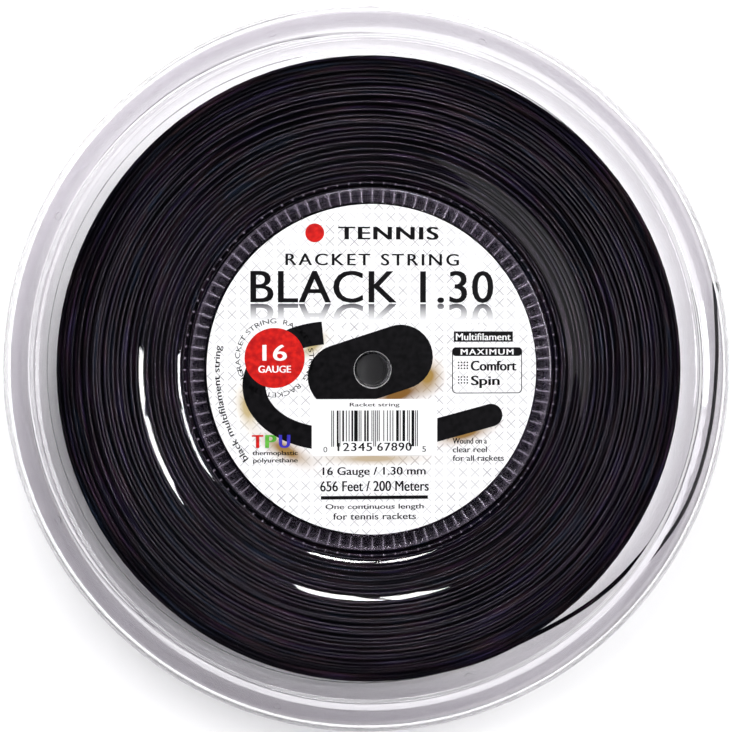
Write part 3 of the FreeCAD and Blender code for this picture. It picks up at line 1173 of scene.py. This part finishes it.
def make_label(material):
    """The paper disc with its hole round the bore."""
    edge = 0.04
    bottom = HUB_FACE + 0.01
    section = [
        (LABEL_HOLE_RADIUS, bottom),
        (LABEL_HOLE_RADIUS, LABEL_TOP - edge),
        (LABEL_HOLE_RADIUS + edge, LABEL_TOP),
        (LABEL_RADIUS - edge, LABEL_TOP),
        (LABEL_RADIUS, LABEL_TOP - edge),
        (LABEL_RADIUS, bottom),
    ]
    mesh = lathe("label_disc", section, LABEL_SEGMENTS)
    shade_smooth(mesh, 30)
    label = add_object("label_disc", mesh, material, "label_paper")
    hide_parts("front_label")


def print_centre(black):
    """A plain dark bar about the bore, a plain arc on its left, and short bars on its right and below."""
    hole = disc_points((0, 0), LABEL_HOLE_RADIUS + 0.1)
    black.add(*closed_band(hole, bar_about(hole, (-0.6, 0.8), 37.0, 18.6, 18)))
    black.add(*arc_band((-12.0, -4.6), (22.0, 15.2), 6.6, 96, 258))
    black.polygon(round_bar((25.5, -15.6), 25.0, 6.6, 15))
    black.box(-14.9, 16.0, -37.3, -36.3)


def bar_about(hole, centre, length, width, angle):
    """For each point of the hole, the point further out where the bar with round ends stops."""
    turn = radians(angle)
    axis = np.array((cos(turn), sin(turn)))
    edge = []
    for point in hole:
        outward = np.array(point) / hypot(*point)
        near, far = 0.0, length
        for _ in range(24):
            reach = (near + far) / 2
            away = outward * reach - centre
            along = min(max(away @ axis, -(length - width) / 2), (length - width) / 2)
            inside = np.linalg.norm(away - along * axis) < width / 2
            near, far = (reach, far) if inside else (near, reach)
        edge.append(tuple(outward * near))
    return edge


def print_left(black, red):
    """The red spot, the red badge with its ring of words, and the words along the label's edge."""
    red.polygon(disc_points((-16.6, 39.2), 2.7))
    red.polygon(disc_points(BADGE, 8.6))
    black.ring_text("RACKET STRING  RACKET STRING  RACKET STRING  ", BADGE, 10.6, 200, -160, 1.4)
    black.ring_text("black multifilament string", (0, 0), 44.4, 215.5, 171, 2.4, bold=0.12)


def print_right(black):
    """The boxes behind the words on the right of the label, with two blocks of dots."""
    black.box(23.5, 40.7, 8.0, 11.0)
    frame_outline = rounded_box(23.0, 43.4, -6.9, 6.4, 1.2)
    inner_outline = rounded_box(23.25, 43.15, -6.65, 6.15, 1.0)
    black.add(*closed_band(inner_outline, frame_outline))
    black.box(23.05, 43.35, 3.9, 6.35, 1.1)
    for middle in (1.2, -3.0):
        for column in range(4):
            for row in (-1, 0, 1):
                centre = (24.9 + 0.85 * column, middle + 0.85 * row)
                black.polygon(disc_points(centre, 0.25, 12))


def barcode_runs():
    """The barcode's runs of bars and gaps, each with whether its bars are tall."""
    digits = [(DIGIT_MODULES[int(digit)], False) for digit in SAMPLE_DIGITS]
    first, *left_half = digits[:6]
    *right_half, last = digits[6:]
    runs = [(END_GUARD, True), (first[0], True), *left_half, (MIDDLE_GUARD, True)]
    return runs + [*right_half, (last[0], True), (END_GUARD, True)]


def print_barcode(bars):
    """A sample barcode with its digits, on the sticker."""
    module = BARCODE_WIDTH / BARCODE_MODULES
    cursor = BARCODE_LEFT
    dark = True
    for widths, tall in barcode_runs():
        for width in widths:
            end = cursor + int(width) * module
            if dark:
                bars.box(cursor, end, BARCODE_GUARD_FOOT if tall else BARCODE_FOOT, BARCODE_TOP)
            cursor = end
            dark = not dark
    for line in STICKER_LINES:
        bars.text(*line)


def make_print():
    """All the printing on the label and the sticker."""
    inks = {name: ink(name + "_ink", *tones) for name, tones in INKS.items()}
    bottom, middle, upper, top = (LABEL_TOP + PRINT_STEP * step for step in (1, 2, 3, 4))
    black = Print("label_print_black", inks["black"], middle)
    for line in BLACK_LINES:
        black.text(*line)
    red = Print("label_print_red", inks["red"], upper)
    print_centre(black)
    print_left(black, red)
    print_right(black)
    white = Print("label_print_white", inks["white"], top)
    for line in WHITE_LINES:
        white.text(*line)
    fade = Print("label_print_fade", fading_ink(18.6, 13.8), bottom)
    body, x, _, width, height, *style = BIG_LINE
    fade.text(body, x, MIRRORED_LINE_HEIGHT, width, -height, *style)
    bars = Print("sticker_print", inks["black"], STICKER_TOP + PRINT_STEP, "sticker_paper")
    print_barcode(bars)
    layers = [black, red, white, fade]
    for colour, letter in COLOURED_LETTERS:
        layers.append(Print("label_letter_" + letter[0].lower(), inks[colour], top))
        layers[-1].text(*letter)
    for layer in (*layers, bars):
        layer.make()


# ---- camera, light, floor

def placed(centre, x_axis, y_axis, z_axis):
    """The matrix of an object at a centre, with its axes along the given directions."""
    return Matrix.Translation(centre) @ Matrix((x_axis, y_axis, z_axis)).transposed().to_4x4()


def make_camera():
    """A short telephoto lens above the reel, with the top of the label at the top."""
    data = bpy.data.cameras.new("camera")
    data.sensor_width = 36
    data.lens = CAMERA_LENS
    data.shift_x, data.shift_y = CAMERA_SHIFT
    camera = new_object("camera", data)
    backward = Vector(CAMERA_PLACE).normalized()
    right = Vector((0, 1, 0)).cross(backward).normalized()
    upward = backward.cross(right)
    centre = Vector(CAMERA_PLACE) + Vector((0, 0, MID))
    camera.matrix_world = placed(centre, right, upward, backward)
    bpy.context.scene.camera = camera


def softbox(name, azimuth, tilt, distance, size, radiance):
    """A rectangular lamp that faces the reel, tilted off the vertical towards an azimuth."""
    data = bpy.data.lights.new(name, "AREA")
    data.shape = "RECTANGLE"
    data.size, data.size_y = size
    data.energy = radiance * pi * data.size * data.size_y
    turn, lean = radians(azimuth), radians(tilt)
    away = Vector(polar(sin(lean), turn, cos(lean)))
    across = Vector((-sin(turn), cos(turn), 0))
    lamp = new_object(name, data)
    lamp.matrix_world = placed(away * distance, across, away.cross(across), away)
    lamp.visible_camera = False
    return lamp


def make_lights():
    """Small bright softboxes that show in the dish, and wide fill lamps that don't show in gloss."""
    for name, (azimuth, tilt, *size) in SOFTBOXES.items():
        lamp = softbox(name, azimuth, tilt, SOFTBOX_DISTANCE, size, SOFTBOX_RADIANCE)
        lamp.visible_diffuse = False
    softbox("softbox_low_left", 215, 40, 1.8, (1.8, 1.0), 0.20)
    for azimuth, tilt, radiance in FILLS:
        fill = softbox("fill_%03d" % azimuth, azimuth, tilt, FILL_DISTANCE, FILL_SIZE, radiance)
        fill.visible_glossy = False
        fill.visible_transmission = False


def make_world():
    """A pale surround that is bright near the horizon and dark overhead, as in a studio."""
    world = bpy.data.worlds.new("studio")
    world.use_nodes = True
    tree = world.node_tree
    height = parts(new_node(tree, "TexCoord").outputs["Generated"])["Z"]
    sky = ramp(height, (
        (0.0, (0.96, 0.94, 1.0)),
        (0.20, (0.94, 0.92, 0.98)),
        (0.30, (0.40, 0.38, 0.44)),
        (0.42, (0.015, 0.014, 0.020)),
        (0.90, (0.015, 0.014, 0.020)),
        (0.96, (0.004, 0.004, 0.007)),
    ))
    set_inputs(tree.nodes["Background"], Color=sky, Strength=WORLD_STRENGTH)
    bpy.context.scene.world = world


def make_floor(material):
    """The pale floor, just under the reel's rest bead."""
    corners = [
        (x * FLOOR_HALF_WIDTH, y * FLOOR_HALF_WIDTH, -FLOOR_GAP)
        for x, y in ((-1, -1), (1, -1), (1, 1), (-1, 1))
    ]
    floor = add_object("floor", mesh_from("floor", corners, [(0, 1, 2, 3)]), material)


def give_material(node, material):
    """Puts a material on a CAD node that stays visible."""
    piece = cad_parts[node]
    for place_slot in piece.material_slots:
        place_slot.material = material
    if not piece.material_slots:
        piece.data.materials.append(material)


make_camera()
string = string_material()
make_tail(string)
make_winding(string)
clear = clear_plastic()
make_flanges(clear)
make_core(core_plastic())
give_material("barcode_sticker", sticker_paper())
make_label(label_paper())
make_print()
make_lights()
make_world()
make_floor(floor_material())

bpy.context.scene.view_settings.view_transform = "Standard"
bpy.context.scene.cycles.transparent_max_bounces = 24
bpy.context.scene.cycles.max_bounces = 20
bpy.context.scene.cycles.transmission_bounces = 20
